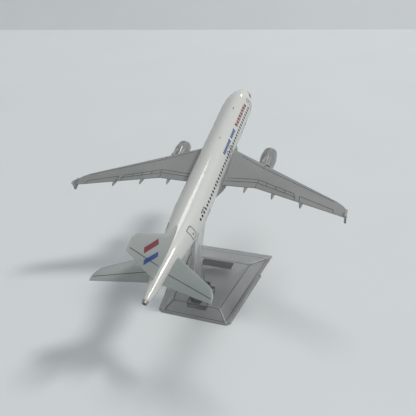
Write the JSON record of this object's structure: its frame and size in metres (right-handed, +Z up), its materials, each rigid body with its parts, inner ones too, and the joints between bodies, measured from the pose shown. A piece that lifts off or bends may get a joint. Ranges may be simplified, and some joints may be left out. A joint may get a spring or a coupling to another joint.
{
  "type": "desk aircraft model",
  "caption": "Desk model of a narrow-body twin-jet airliner in climbing attitude, lifting off a clear leaning pylon that plugs into a clear hollow trapezoid base.",
  "frame": {"origin": "on the table, at the centre of the overall box", "axes": "+X towards the nose's side, +Y to the aircraft's left, +Z up"},
  "size_m": [0.1612, 0.1452, 0.0936],
  "materials": {
    "white_paint": "glossy warm-white paint on die-cast metal",
    "wing_grey": "satin mid-grey paint on die-cast metal",
    "fin_grey": "glossy pale grey paint",
    "tailplane_grey": "satin blue-grey paint",
    "nacelle_grey": "satin grey paint",
    "fan_grey": "dark grey moulded plastic",
    "exhaust_grey": "matt dark grey paint",
    "screw_steel": "plated steel",
    "clear_plastic": "clear moulded styrene, slightly smoky",
    "label_maroon": "blank dark maroon label"
  },
  "bodies": {
    "base": {"stand_base": "clear_plastic", "label_plate": "label_maroon"},
    "pylon": {"stand_pylon": "clear_plastic"},
    "airliner": {"fuselage_upper_shell": "white_paint", "fuselage_lower_shell": "white_paint", "tail_cone_tip": "exhaust_grey", "wing_centre_fairing": "wing_grey", "vertical_fin": "fin_grey", "belly_screws": "screw_steel", "left_wing": "wing_grey", "right_wing": "wing_grey", "left_tailplane": "tailplane_grey", "right_tailplane": "tailplane_grey", "left_engine_nacelle": "nacelle_grey", "right_engine_nacelle": "nacelle_grey", "left_engine_strut": "nacelle_grey", "right_engine_strut": "nacelle_grey", "left_engine_fan": "fan_grey", "right_engine_fan": "fan_grey", "left_exhaust_core": "exhaust_grey", "right_exhaust_core": "exhaust_grey"}
  },
  "joints": [
    {"name": "pylon_pull", "type": "slide", "parent": "base", "child": "pylon", "axis": [0, 0, 1], "range_m": [0, 0.012]},
    {"name": "airliner_lift", "type": "slide", "parent": "pylon", "child": "airliner", "axis": [-0.282, 0, 0.9594], "range_m": [0, 0.02]}
  ]
}
